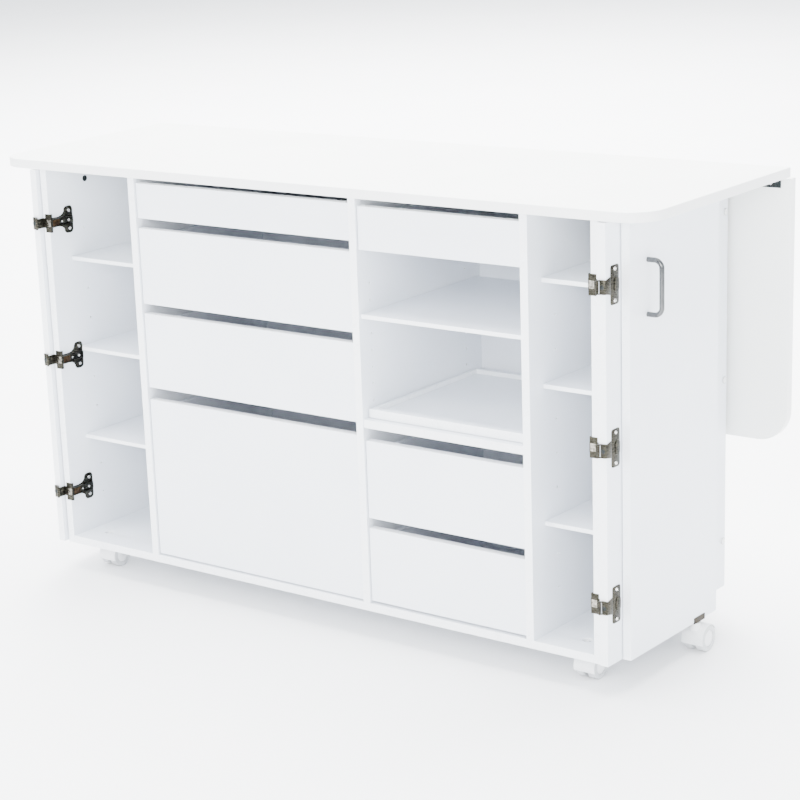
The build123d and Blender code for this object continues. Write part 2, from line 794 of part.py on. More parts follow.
def make_caster(name, x, y):
    """A twin-wheel caster: the hood with its stem swivels, and the two wheels turn on one axle."""
    axle_y = y + caster_trail
    axle_z = wheel_radius
    half_width = web_half + hood_play + wheel_width
    wide = half_width + cut_margin
    low = axle_z - hood_radius - cut_margin
    deep = hood_radius + cut_margin
    with BuildPart() as hood:
        cross_rod((x - half_width, x + half_width), axle_y, axle_z, hood_radius)
        block((x - wide, x + wide), (axle_y - deep, axle_y + deep), (low, axle_z - hood_skirt), Mode.SUBTRACT)
        rear_z = (low, axle_z + hood_rear_height)
        block((x - wide, x + wide), (axle_y + hood_rear, axle_y + deep), rear_z, Mode.SUBTRACT)
        upright_rod(x, y, (axle_z + neck_start, caster_top), neck_radius)
        for way in (-1, 1):
            wheel_space = (x + way * web_half, x + way * wide)
            cross_rod(wheel_space, axle_y, axle_z, wheel_radius + hood_play, Mode.SUBTRACT)
        cross_rod((x - web_half, x + web_half), axle_y, axle_z, axle_radius + axle_play, Mode.SUBTRACT)
        upright_rod(x, y, (caster_top, caster_top + stem_length), stem_radius)
    save(hood, f"caster_{name}_hood")

    with BuildPart() as wheels:
        for way in (-1, 1):
            inner_x = x + way * (web_half + hood_play / 2)
            outer_x = inner_x + way * wheel_width
            cross_rod((inner_x, outer_x), axle_y, axle_z, wheel_radius)
        rims = edges().filter_by(GeomType.CIRCLE).filter_by(lambda e: abs(e.radius - wheel_radius) < 0.01)
        fillet(rims, tread_round)
        for way in (-1, 1):
            outer_x = x + way * (web_half + hood_play / 2 + wheel_width)
            cross_rod((outer_x - way * hub_recess, outer_x), axle_y, axle_z, hub_radius, Mode.SUBTRACT)
            boss_ends = (outer_x - way * hub_recess, outer_x - way * hub_boss_drop)
            cross_rod(boss_ends, axle_y, axle_z, hub_radius / 2)
        axle_half = web_half + axle_end
        cross_rod((x - axle_half, x + axle_half), axle_y, axle_z, axle_radius)
    save(wheels, f"caster_{name}_wheels")


def make_casters():
    """The four cabinet casters, the two door casters and the cabinet's caster sockets."""
    for name, x, y in caster_places():
        make_caster(name, x, y)
    door_x = sum(outer_leaf_x) / 2
    for side, word in ((-1, "left"), (1, "right")):
        make_caster(f"door_{word}", side * door_x, fold_y - door_caster_reach)

    with BuildPart() as caster_sockets:
        for _, x, y in caster_places():
            upright_rod(x, y, (base - socket_plate, base), socket_flange)
            upright_rod(x, y, (base, socket_top), socket_radius)
            upright_rod(x, y, (base - socket_plate, socket_top), stem_radius + stem_play, Mode.SUBTRACT)
    save(caster_sockets, "caster_sockets")


make_worktop()
make_drop_leaf()
make_leaf_hinge()
make_sides()
make_dividers()
make_bottom_and_back()
make_rails()
make_shelves()
make_shelf_pins()
make_drawers()
make_tray()
make_rear_supports()
make_hinge_plates()
for door_side, door_word in ((-1, "left"), (1, "right")):
    make_door_leaves(door_side, door_word)
    make_door_hinges(door_side, door_word)
    make_outer_fittings(door_side, door_word)
    make_handle(door_side, door_word)
make_casters()
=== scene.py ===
"""Looks for the sewing table: materials, hinges, casters, floor, light and camera around the CAD part."""

import json
import math

import bmesh
import bpy
from mathutils import Matrix, Vector


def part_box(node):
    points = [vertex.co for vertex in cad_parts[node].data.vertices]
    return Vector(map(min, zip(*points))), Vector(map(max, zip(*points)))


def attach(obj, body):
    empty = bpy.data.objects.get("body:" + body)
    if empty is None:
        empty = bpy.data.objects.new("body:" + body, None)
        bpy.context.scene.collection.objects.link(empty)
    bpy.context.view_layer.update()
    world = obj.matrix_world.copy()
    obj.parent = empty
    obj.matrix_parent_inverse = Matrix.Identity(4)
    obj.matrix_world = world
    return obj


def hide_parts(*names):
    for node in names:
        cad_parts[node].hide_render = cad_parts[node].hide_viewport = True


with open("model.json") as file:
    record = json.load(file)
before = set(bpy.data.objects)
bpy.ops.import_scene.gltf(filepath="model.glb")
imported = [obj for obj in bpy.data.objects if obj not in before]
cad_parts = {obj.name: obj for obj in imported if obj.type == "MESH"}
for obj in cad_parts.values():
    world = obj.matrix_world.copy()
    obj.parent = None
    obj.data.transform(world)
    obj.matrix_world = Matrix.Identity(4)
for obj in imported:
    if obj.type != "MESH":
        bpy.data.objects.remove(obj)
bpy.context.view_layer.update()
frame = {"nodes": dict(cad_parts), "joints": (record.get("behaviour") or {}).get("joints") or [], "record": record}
nodes = frame["nodes"]

MM = 0.001
WELD_DISTANCE = 0.01 * MM
DOUBLES_DISTANCE = 0.001 * MM
SMOOTH_ANGLE = math.radians(35)
BEVEL_ANGLE = math.radians(40)
BEVEL_SEGMENTS = 2
BOARD_BEVEL = 0.6 * MM
FACE_NORMAL = 0.7  # above this along a board's thin axis, a normal belongs to one of its large faces


# ---------------------------------------------------------------------------
# Materials
# ---------------------------------------------------------------------------
RAMP_START = 0.35
RAMP_END = 0.65


class Shader:
    """A Principled material with small procedural textures in object coordinates."""

    def __init__(self, name, rough, metallic=0.0, coat=0.0):
        self.material = bpy.data.materials.new(name)
        self.material.use_nodes = True
        self.tree = self.material.node_tree
        self.tree.nodes.clear()
        self.output = self.add("ShaderNodeOutputMaterial")
        self.bsdf = self.add("ShaderNodeBsdfPrincipled")
        self.bsdf.inputs["Roughness"].default_value = rough
        self.bsdf.inputs["Metallic"].default_value = metallic
        self.bsdf.inputs["Coat Weight"].default_value = coat
        self.link(self.bsdf, "BSDF", self.output, "Surface")
        self.coords = self.add("ShaderNodeTexCoord")

    def add(self, kind):
        return self.tree.nodes.new(kind)

    def link(self, source, out_name, target, in_name):
        self.tree.links.new(source.outputs[out_name], target.inputs[in_name])

    def noise(self, scale, detail, stretch=(1, 1, 1)):
        mapping = self.add("ShaderNodeMapping")
        mapping.inputs["Scale"].default_value = stretch
        self.link(self.coords, "Object", mapping, "Vector")
        noise = self.add("ShaderNodeTexNoise")
        noise.inputs["Scale"].default_value = scale
        noise.inputs["Detail"].default_value = detail
        self.link(mapping, "Vector", noise, "Vector")
        return noise

    def color(self, noise, dark, light):
        ramp = self.add("ShaderNodeValToRGB")
        ends = ramp.color_ramp.elements
        for end, position, shade in ((ends[0], RAMP_START, dark), (ends[1], RAMP_END, light)):
            end.position = position
            end.color = (*shade, 1)
        self.link(noise, "Fac", ramp, "Fac")
        self.link(ramp, "Color", self.bsdf, "Base Color")

    def roughness(self, noise, low, high):
        spread = self.add("ShaderNodeMapRange")
        spread.inputs["To Min"].default_value = low
        spread.inputs["To Max"].default_value = high
        self.link(noise, "Fac", spread, "Value")
        self.link(spread, "Result", self.bsdf, "Roughness")

    def bump(self, noise, strength, height):
        bump = self.add("ShaderNodeBump")
        bump.inputs["Strength"].default_value = strength
        bump.inputs["Distance"].default_value = height
        self.link(noise, "Fac", bump, "Height")
        self.link(bump, "Normal", self.bsdf, "Normal")


def laminate(name, dark, light, rough, grain, strength):
    """White melamine: faint clouds in the colour and a fine orange peel."""
    shader = Shader(name, rough)
    shader.color(shader.noise(scale=5, detail=3), dark, light)
    shader.roughness(shader.noise(scale=60, detail=3), low=rough - 0.05, high=rough + 0.07)
    shader.bump(shader.noise(scale=grain, detail=2), strength, height=0.3 * MM)
    return shader.material


def metal(name, dark, light, rough, stretch=(1, 1, 1), strength=0.08):
    """Plated, lacquered or rolled steel with fine drawn marks."""
    shader = Shader(name, rough, metallic=1.0)
    shader.color(shader.noise(scale=180, detail=3, stretch=stretch), dark, light)
    shader.roughness(shader.noise(scale=300, detail=2, stretch=stretch), low=rough - 0.04, high=rough + 0.1)
    shader.bump(shader.noise(scale=900, detail=2, stretch=stretch), strength, height=0.2 * MM)
    return shader.material


def plastic(name, dark, light, rough):
    """Moulded plastic with a slightly uneven gloss."""
    shader = Shader(name, rough, coat=0.15)
    shader.color(shader.noise(scale=40, detail=2), dark, light)
    shader.roughness(shader.noise(scale=150, detail=2), low=rough - 0.05, high=rough + 0.08)
    shader.bump(shader.noise(scale=600, detail=2), strength=0.04, height=0.3 * MM)
    return shader.material


def paper(name, dark, light, rough):
    """Matt paper with faint clouds in the colour."""
    shader = Shader(name, rough)
    shader.color(shader.noise(scale=1.5, detail=2), dark, light)
    return shader.material


LAMINATE = laminate("laminate_white", dark=(0.775, 0.81, 0.865), light=(0.80, 0.835, 0.885),
                    rough=0.34, grain=650, strength=0.06)
BAND = laminate("edge_band_white", dark=(0.845, 0.87, 0.90), light=(0.87, 0.89, 0.915),
                rough=0.28, grain=500, strength=0.03)
TOP = laminate("worktop_laminate", dark=(0.835, 0.85, 0.832), light=(0.865, 0.88, 0.862),
               rough=0.42, grain=420, strength=0.16)
TOP_BAND = laminate("worktop_band", dark=(0.84, 0.85, 0.85), light=(0.86, 0.87, 0.87),
                    rough=0.30, grain=500, strength=0.03)
BOARD = laminate("drawer_board_white", dark=(0.72, 0.765, 0.84), light=(0.76, 0.80, 0.87),
                 rough=0.45, grain=500, strength=0.10)
RUNNER = metal("runner_painted", dark=(0.70, 0.70, 0.69), light=(0.76, 0.76, 0.75), rough=0.42)
# Hinge nickel drawn far darker than the screws' nickel: the dark reflections on the hinge steel are painted into
# its base colour.
NICKEL_PAINTED_REFLECTION = metal("hinge_nickel", dark=(0.010, 0.010, 0.008), light=(0.062, 0.058, 0.045),
               rough=0.28, stretch=(1, 1, 3))
NICKEL_BRIGHT = metal("screw_nickel", dark=(0.55, 0.54, 0.52), light=(0.75, 0.74, 0.71), rough=0.20)
CLIP = metal("clip_nickel", dark=(0.10, 0.095, 0.075), light=(0.38, 0.36, 0.32), rough=0.24)
DARK_STEEL = metal("hinge_dark_steel", dark=(0.02, 0.023, 0.023), light=(0.045, 0.05, 0.05),
                   rough=0.42, stretch=(6, 1, 1))
ZINC = metal("pin_zinc", dark=(0.10, 0.10, 0.105), light=(0.20, 0.20, 0.21), rough=0.28)
BRONZE = metal("bracket_bronze", dark=(0.030, 0.017, 0.009), light=(0.085, 0.052, 0.028), rough=0.34)
BRACKET = metal("bracket_lacquer", dark=(0.008, 0.006, 0.003), light=(0.030, 0.021, 0.009), rough=0.38)
# Chrome drawn dark grey: the handle's dark reflections are painted into its base colour, and the lamps add the
# highlights.
CHROME_PAINTED_REFLECTION = metal("handle_chrome_painted_reflection", dark=(0.085, 0.088, 0.09), light=(0.12, 0.122, 0.125),
               rough=0.14, stretch=(1, 1, 0.3), strength=0.02)
WHITE_PLASTIC = plastic("caster_white", dark=(0.78, 0.79, 0.80), light=(0.83, 0.84, 0.85), rough=0.32)
# White wheel plastic drawn mid-grey, darker than the caster's white plastic: painted shade on the wheels.
WHEEL_PAINTED_SHADE = plastic("wheel_white", dark=(0.50, 0.515, 0.53), light=(0.58, 0.595, 0.61), rough=0.38)

# For each CAD slot, the material of a board's large faces and of its edges.
SLOT_MATERIALS = {
    "laminate_white": (LAMINATE, BAND),
    "laminate_top": (TOP, TOP_BAND),
    "drawer_board": (BOARD, BOARD),
    "runner_white": (RUNNER, RUNNER),
    "hinge_nickel": (NICKEL_PAINTED_REFLECTION, NICKEL_PAINTED_REFLECTION),
    "steel": (ZINC, ZINC),
    "steel_dark": (DARK_STEEL, DARK_STEEL),
    "bracket_bronze": (BRACKET, BRACKET),
    "chrome": (CHROME_PAINTED_REFLECTION, CHROME_PAINTED_REFLECTION),
    "plastic_white": (WHITE_PLASTIC, WHITE_PLASTIC),
    "wheel_white": (WHEEL_PAINTED_SHADE, WHEEL_PAINTED_SHADE),
}


# ---------------------------------------------------------------------------
# CAD nodes: materials and softened edges
# ---------------------------------------------------------------------------
ROUND_NODES = ("handle", "caster", "pins", "hinge", "fittings", "runners", "sockets")
THIN_AXES = {"shelves_left": 2, "shelves_right": 2, "rear_fins": 0}  # nodes that hold several boards


def weld_vertices(obj):
    weld = obj.modifiers.new("weld", "WELD")
    weld.merge_threshold = WELD_DISTANCE


def soften(obj, width):
    """A narrow bevel that catches the light, over welded vertices."""
    weld_vertices(obj)
    bevel = obj.modifiers.new("bevel", "BEVEL")
    bevel.width = width
    bevel.segments = BEVEL_SEGMENTS
    bevel.limit_method = "ANGLE"
    bevel.angle_limit = BEVEL_ANGLE


def smooth_by_angle(obj):
    """Smooth shading, with sharp edges kept by an edge split."""
    weld_vertices(obj)
    split = obj.modifiers.new("split", "EDGE_SPLIT")
    split.split_angle = SMOOTH_ANGLE
    for polygon in obj.data.polygons:
        polygon.use_smooth = True


def thin_axis(obj):
    """The axis across a board's large faces."""
    if obj.name in THIN_AXES:
        return THIN_AXES[obj.name]
    low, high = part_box(obj.name)
    size = high - low
    return min(range(3), key=lambda i: size[i])


def dress_nodes():
    """Give every CAD node its material, with the banded edges of the boards in their own."""
    slots = {row["node"]: row["material_slot"] for row in frame["record"]["subparts"]}
    for name, obj in nodes.items():
        face, edge = SLOT_MATERIALS[slots[name]]
        obj.data.materials.clear()
        obj.data.materials.append(face)
        obj.data.materials.append(edge)
        thin = thin_axis(obj)
        is_round = any(word in name for word in ROUND_NODES)
        for polygon in obj.data.polygons:
            flat = abs(polygon.normal[thin]) > FACE_NORMAL
            polygon.material_index = 0 if flat or is_round else 1
        if is_round:
            smooth_by_angle(obj)
        else:
            soften(obj, BOARD_BEVEL)


dress_nodes()


# ---------------------------------------------------------------------------
# Mesh helpers
# ---------------------------------------------------------------------------
def new_object(name, mesh_maker, material, body, bevel=0.0):
    """Build a mesh, give it a material and let it ride a body."""
    bm = bmesh.new()
    mesh_maker(bm)
    bmesh.ops.remove_doubles(bm, verts=bm.verts, dist=DOUBLES_DISTANCE)
    bmesh.ops.recalc_face_normals(bm, faces=bm.faces)
    mesh = bpy.data.meshes.new(name)
    bm.to_mesh(mesh)
    bm.free()
    mesh.materials.append(material)
    obj = bpy.data.objects.new(name, mesh)
    bpy.context.scene.collection.objects.link(obj)
    if bevel:
        soften(obj, bevel)
    smooth_by_angle(obj)
    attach(obj, body)
    return obj


def in_metres(points):
    """Pairs in millimetres, as pairs in metres."""
    return [(a * MM, b * MM) for a, b in points]


def offsets_from(a0, b0, points):
    """Pairs in millimetres from (a0, b0), as pairs in metres."""
    return [(a0 + a * MM, b0 + b * MM) for a, b in points]


def mirror_x(side, points):
    return [(side * x, y) for x, y in points]


def lathe(bm, profile, centre, axis, steps):
    """Turn a profile of (radius, height) pairs about axis, starting at centre."""
    axis = Vector(axis).normalized()
    side = axis.orthogonal().normalized()
    other = axis.cross(side)
    centre = Vector(centre)
    rings = []
    for radius, height in profile:
        middle = centre + axis * height
        if radius == 0:
            rings.append([bm.verts.new(middle)] * steps)
            continue
        ring = []
        for i in range(steps):
            a = 2 * math.pi * i / steps
            ring.append(bm.verts.new(middle + (side * math.cos(a) + other * math.sin(a)) * radius))
        rings.append(ring)
    for low, high in zip(rings, rings[1:]):
        for i in range(steps):
            corners = []
            for v in (low[i], low[(i + 1) % steps], high[(i + 1) % steps], high[i]):
                if v not in corners:
                    corners.append(v)
            if len(corners) > 2:
                bm.faces.new(corners)


def upright_pin(bm, x, y, z, radius, low, high, steps):
    """A closed cylinder along Z, from z + low to z + high."""
    lathe(bm, [(0, low), (radius, low), (radius, high), (0, high)], (x, y, z), (0, 0, 1), steps)


def prism(bm, outline, low, high, axis):
    """Extrude an outline of two coordinates along axis 0, 1 or 2, from low to high."""

    def place(a, b, c):
        spots = [a, b]
        spots.insert(axis, c)
        return bm.verts.new(spots)

    bottom = [place(a, b, low) for a, b in outline]
    top = [place(a, b, high) for a, b in outline]
    bm.faces.new(bottom)
    bm.faces.new(top)
    count = len(outline)
    for i in range(count):
        j = (i + 1) % count
        bm.faces.new((bottom[i], bottom[j], top[j], top[i]))


def arc(cx, cy, radius, start, stop, steps):
    """Points on an arc, angles in degrees."""
    points = []
    for i in range(steps + 1):
        a = math.radians(start + (stop - start) * i / steps)
        points.append((cx + radius * math.cos(a), cy + radius * math.sin(a)))
    return points


def rectangle(a0, a1, b0, b1):
    return [(a0, b0), (a1, b0), (a1, b1), (a0, b1)]


def rounded_rectangle(a0, a1, b0, b1, radius, steps):
    outline = arc(a1 - radius, b1 - radius, radius, 0, 90, steps)
    outline += arc(a0 + radius, b1 - radius, radius, 90, 180, steps)
    outline += arc(a0 + radius, b0 + radius, radius, 180, 270, steps)
    outline += arc(a1 - radius, b0 + radius, radius, 270, 360, steps)
    return outline


# A screw head's (radius, height) pairs, as shares of its radius and rise: a dome with a driver recess.
SCREW_DOME = ((1, 0.15), (0.85, 0.7), (0.5, 1), (0.36, 0.95), (0.22, 0.3), (0, 0.25))
SCREW_RISE = 0.45  # of the radius
SCREW_SINK = 0.4 * MM
SCREW_STEPS = 16


def screw_head(bm, centre, axis, radius):
    rise = radius * SCREW_RISE
    profile = [(radius, -SCREW_SINK)] + [(radius * out, rise * up) for out, up in SCREW_DOME]
    lathe(bm, profile, centre, axis, SCREW_STEPS)


# ---------------------------------------------------------------------------
# Places shared by the details
# ---------------------------------------------------------------------------
side_low, side_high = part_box("side_right")
INNER = side_low.x
OUTER = side_high.x
FRONT = side_low.y
UNDERSIDE = side_high.z
inner_low, inner_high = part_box("door_right_inner")
LEAF_NEAR = inner_low.y
LEAF_FACE = inner_high.x
joint_places = {j["name"]: Vector(j["pos_m"]) for j in frame["joints"] if "pos_m" in j}
PIVOT = joint_places["door_right_hinge"]
FOLD = joint_places["door_right_fold"]
SIDES = ((-1, "left"), (1, "right"))
HINGE_HEIGHTS = [h * MM for h in (174, 462, 750)]
HINGE_SPOTS = [(side, z) for side, _ in SIDES for z in HINGE_HEIGHTS]
SINK = 0.1 * MM  # how far a part goes into the one it stands on


def panel_patch(z, start, end, half, corner, steps):
    """A rounded rectangle on a panel's face, start to end mm behind the cabinet's front edge."""
    return rounded_rectangle(FRONT + start * MM, FRONT + end * MM, z - half * MM, z + half * MM,
                             corner * MM, steps)


# ---------------------------------------------------------------------------
# Door hinges: the fixed half on the cabinet
# ---------------------------------------------------------------------------
# Outlines in millimetres: behind the cabinet's front edge, and above the hinge's middle.
ARM_LOWER_EDGE = ((1.5, -10), (24, -10), (33, -11.5), (39, -15), (42, -19))
CHANNEL = ((1.5, -8.5), (62, -8.5), (64, -6), (64, 6), (62, 8.5), (1.5, 8.5))

PLATE = dict(start=42, end=66, half=28, corner=8, steps=5)
COVER = dict(start=5, end=24, half=6.2, corner=1.5, steps=3)

# How far each part stands off the side panel's inner face.
PLATE_RISE = 2 * MM
CHANNEL_RISE = 5.2 * MM
RAIL_RISE = 7.4 * MM
COVER_RISE = 6.2 * MM

ARM_HALF = 10 * MM
RAIL_START = 3 * MM
RAIL_END = 58 * MM
RAIL_LOW = 6.6 * MM
RAIL_HIGH = 8.4 * MM
STRAP_THICKNESS = 1.5 * MM
STRAP_REACH = 6 * MM
STRAP_GAP = 0.6 * MM
STRAP_FACE = 2.4 * MM
LUG_HALF = 1 * MM
BARREL_RADIUS = 2.4 * MM
BARREL_STEPS = 20
PIN_RADIUS = 1.2 * MM
PIN_HALF = 12.6 * MM
PIN_STEPS = 16
# In millimetres from the panel's inner front corner: outwards, and behind it.
EAR = ((-5, -0.7), (11, -0.7), (11, -0.1), (-3.5, -0.1), (-3.5, 4), (-5, 4))
CLIP_OUTLINE = ((-4, -0.76), (7, -0.76), (7, -0.6), (-4, -0.6))
EAR_HALF = 19 * MM
CLIP_HALF = 7 * MM
PLATE_SCREW_BACK = 55 * MM
PLATE_SCREW_HALF = 18.5 * MM
PLATE_SCREW_RADIUS = 3.9 * MM
ARM_SCREWS = ((31, 2.4), (50, 3.2))  # mm behind the front edge, radius in mm


def hinge_arm_outline(z):
    """Plate and arm in one stamping, seen from inside the cabinet, as (Y, Z) pairs."""
    plate = panel_patch(z, **PLATE)
    half = len(plate) // 2
    upper_edge = [(y, -up) for y, up in reversed(ARM_LOWER_EDGE)]
    return (offsets_from(FRONT, z, ARM_LOWER_EDGE) + plate[half:] + plate[:half]
            + offsets_from(FRONT, z, upper_edge))


def hinge_strap_outline():
    """The strap round the side panel's edge, out to the pin, as (X, Y) pairs."""
    return [
        (INNER - STRAP_REACH, FRONT),
        (INNER - STRAP_REACH, FRONT + STRAP_THICKNESS),
        (OUTER + STRAP_FACE, FRONT + STRAP_THICKNESS),
        (OUTER + STRAP_FACE, PIVOT.y + LUG_HALF),
        (PIVOT.x, PIVOT.y + LUG_HALF),
        (PIVOT.x, PIVOT.y - LUG_HALF),
        (OUTER + STRAP_GAP, PIVOT.y - LUG_HALF),
        (OUTER + STRAP_GAP, FRONT),
    ]


def cabinet_hinges():
    """Every fixed hinge half, in place of the CAD's plain plates."""

    def steel(bm):
        for side, z in HINGE_SPOTS:
            prism(bm, hinge_arm_outline(z), side * INNER, side * (INNER - PLATE_RISE), 0)
            prism(bm, offsets_from(FRONT, z, CHANNEL), side * (INNER - PLATE_RISE + SINK),
                  side * (INNER - CHANNEL_RISE), 0)
            for up in (-1, 1):
                rail = rectangle(FRONT + RAIL_START, FRONT + RAIL_END, z + up * RAIL_LOW, z + up * RAIL_HIGH)
                prism(bm, rail, side * (INNER - CHANNEL_RISE + 2 * SINK), side * (INNER - RAIL_RISE), 0)
            prism(bm, mirror_x(side, hinge_strap_outline()), z - ARM_HALF, z + ARM_HALF, 2)
            upright_pin(bm, side * PIVOT.x, PIVOT.y, z, BARREL_RADIUS, -ARM_HALF, ARM_HALF, BARREL_STEPS)
            upright_pin(bm, side * PIVOT.x, PIVOT.y, z, PIN_RADIUS, -PIN_HALF, PIN_HALF, PIN_STEPS)

    hinge = new_object("door_hinge_plates_formed", steel, NICKEL_PAINTED_REFLECTION, "cabinet", bevel=0.4 * MM)
    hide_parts("door_hinge_plates")

    def screws(bm):
        for side, z in HINGE_SPOTS:
            inward = (-side, 0, 0)
            for up in (-1, 1):
                spot = (side * (INNER - PLATE_RISE), FRONT + PLATE_SCREW_BACK, z + up * PLATE_SCREW_HALF)
                screw_head(bm, spot, inward, PLATE_SCREW_RADIUS)
            for back, radius in ARM_SCREWS:
                screw_head(bm, (side * (INNER - CHANNEL_RISE), FRONT + back * MM, z), inward, radius * MM)

    new_object("door_hinge_plate_screws", screws, NICKEL_BRIGHT, "cabinet")

    def covers(bm):
        for side, z in HINGE_SPOTS:
            prism(bm, panel_patch(z, **COVER), side * (INNER - CHANNEL_RISE + SINK),
                  side * (INNER - COVER_RISE), 0)

    new_object("door_hinge_covers", covers, BRONZE, "cabinet", bevel=0.3 * MM)

    def ears(bm):
        """A thin plate across the panel's front edge, with a lip round its inner corner."""
        outline = offsets_from(INNER, FRONT, EAR)
        for side, z in HINGE_SPOTS:
            prism(bm, mirror_x(side, outline), z - EAR_HALF, z + EAR_HALF, 2)

    new_object("door_hinge_ears", ears, NICKEL_PAINTED_REFLECTION, "cabinet")

    def clips(bm):
        """A bright clip lying on the ears."""
        outline = offsets_from(INNER, FRONT, CLIP_OUTLINE)
        for side, z in HINGE_SPOTS:
            prism(bm, mirror_x(side, outline), z - CLIP_HALF, z + CLIP_HALF, 2)

    new_object("door_hinge_clips", clips, CLIP, "cabinet")


cabinet_hinges()


# ---------------------------------------------------------------------------
# Door hinges: cups, yokes and fold hinges on the inner leaf
# ---------------------------------------------------------------------------
CUP_RADIUS = 17.5 * MM
CUP_DEPTH = 11.5 * MM
CUP_BACK = 17 * MM
CUP_RISE = 0.2 * MM
CUP_STEPS = 32
CUP_SCREW_BACK = 18 * MM
CUP_SCREW_HALF = 27.5 * MM
CUP_SCREW_RADIUS = 3.6 * MM
FLANGE = 1.2 * MM
FLANGE_PATCH = dict(start=5, end=31, half=34.5, corner=5, steps=4)
HOUSING_PATCH = dict(start=15, end=30, half=13, corner=6, steps=5)
HOUSING_RISE = 1.6 * MM
# The strip that joins yoke and flange: (Y offset, half height) in millimetres at its near and far end.
STRIP_NEAR = (-1, 12)
STRIP_FAR = (6, 16)

YOKE_HALF = 12.5 * MM
YOKE_FACE = 1.6 * MM  # behind the pin's axis
YOKE_LUG_LOW = 10.4 * MM
YOKE_SCREW_OUT = 8.5 * MM
# In millimetres from the pin's axis: outwards, and behind it.
YOKE_LINK = ((0, -1.4), (4, 1), (4, 4), (0, 1.4))
# (radius, height) pairs in millimetres.
YOKE_SCREW = ((4.2, -0.3), (4.2, 0.3), (3.4, 0.6), (1.6, 0.6), (1.5, 0.1), (0, 0.1))
YOKE_SCREW_STEPS = 16

FOLD_HALF = 25 * MM
FOLD_LEAF = 0.85 * MM
FOLD_FLAP = (24.6 * MM, 2.6 * MM)  # in front of the pin's axis, far and near end
FOLD_NECK = (3 * MM, 0.5 * MM)
FOLD_KNUCKLE_LOW = 8.4 * MM
FOLD_KNUCKLE_RADIUS = 2.2 * MM
FOLD_PIN_RADIUS = 1 * MM
FOLD_PIN_STEPS = 12


def yoke_outline():
    """From the leaf's near edge round the pin to the flange, as (X, Y) pairs."""
    return [
        (PIVOT.x + 3 * MM, LEAF_NEAR - 0.2 * MM),
        (PIVOT.x + 3 * MM, PIVOT.y + 3 * MM),
        (PIVOT.x + 4.5 * MM, PIVOT.y + YOKE_FACE),
        (LEAF_FACE - 2 * MM, PIVOT.y + YOKE_FACE),
        (LEAF_FACE + FLANGE, PIVOT.y + 4 * MM),
        (LEAF_FACE + FLANGE, LEAF_NEAR - 0.2 * MM),
    ]


def add_cup_and_yoke(bm, side, z):
    prism(bm, panel_patch(z, **FLANGE_PATCH), side * LEAF_FACE, side * (LEAF_FACE + FLANGE), 0)
    (near, near_half), (far, far_half) = STRIP_NEAR, STRIP_FAR
    strip = offsets_from(LEAF_NEAR, z, [(near, -near_half)])
    strip += offsets_from(FRONT, z, [(far, -far_half), (far, far_half)])
    strip += offsets_from(LEAF_NEAR, z, [(near, near_half)])
    prism(bm, strip, side * (LEAF_FACE + SINK), side * (LEAF_FACE + FLANGE), 0)
    cup = [(0, -CUP_DEPTH), (CUP_RADIUS, -CUP_DEPTH), (CUP_RADIUS, CUP_RISE), (0, CUP_RISE)]
    lathe(bm, cup, (side * LEAF_FACE, FRONT + CUP_BACK, z), (side, 0, 0), CUP_STEPS)
    prism(bm, mirror_x(side, yoke_outline()), z - YOKE_HALF, z + YOKE_HALF, 2)
    for up in (-1, 1):
        low, high = sorted((up * YOKE_LUG_LOW, up * YOKE_HALF))
        upright_pin(bm, side * PIVOT.x, PIVOT.y, z, BARREL_RADIUS, low, high, BARREL_STEPS)
        link = offsets_from(PIVOT.x, PIVOT.y, YOKE_LINK)
        prism(bm, mirror_x(side, link), z + low, z + high, 2)


def add_fold_hinge(bm, side, z):
    """The inner leaf's half of the hinge between the two leaves."""
    flap = rectangle(FOLD.y - FOLD_FLAP[0], FOLD.y - FOLD_FLAP[1], z - FOLD_HALF, z + FOLD_HALF)
    prism(bm, flap, side * LEAF_FACE, side * (LEAF_FACE + FOLD_LEAF), 0)
    for up in (-1, 1):
        low, high = sorted((up * FOLD_KNUCKLE_LOW, up * FOLD_HALF))
        upright_pin(bm, side * FOLD.x, FOLD.y, z, FOLD_KNUCKLE_RADIUS, low, high, BARREL_STEPS)
        neck = rectangle(FOLD.y - FOLD_NECK[0], FOLD.y - FOLD_NECK[1], z + low, z + high)
        prism(bm, neck, side * (LEAF_FACE + SINK / 2), side * (LEAF_FACE + FOLD_LEAF), 0)
    upright_pin(bm, side * FOLD.x, FOLD.y, z, FOLD_PIN_RADIUS, -FOLD_HALF, FOLD_HALF, FOLD_PIN_STEPS)


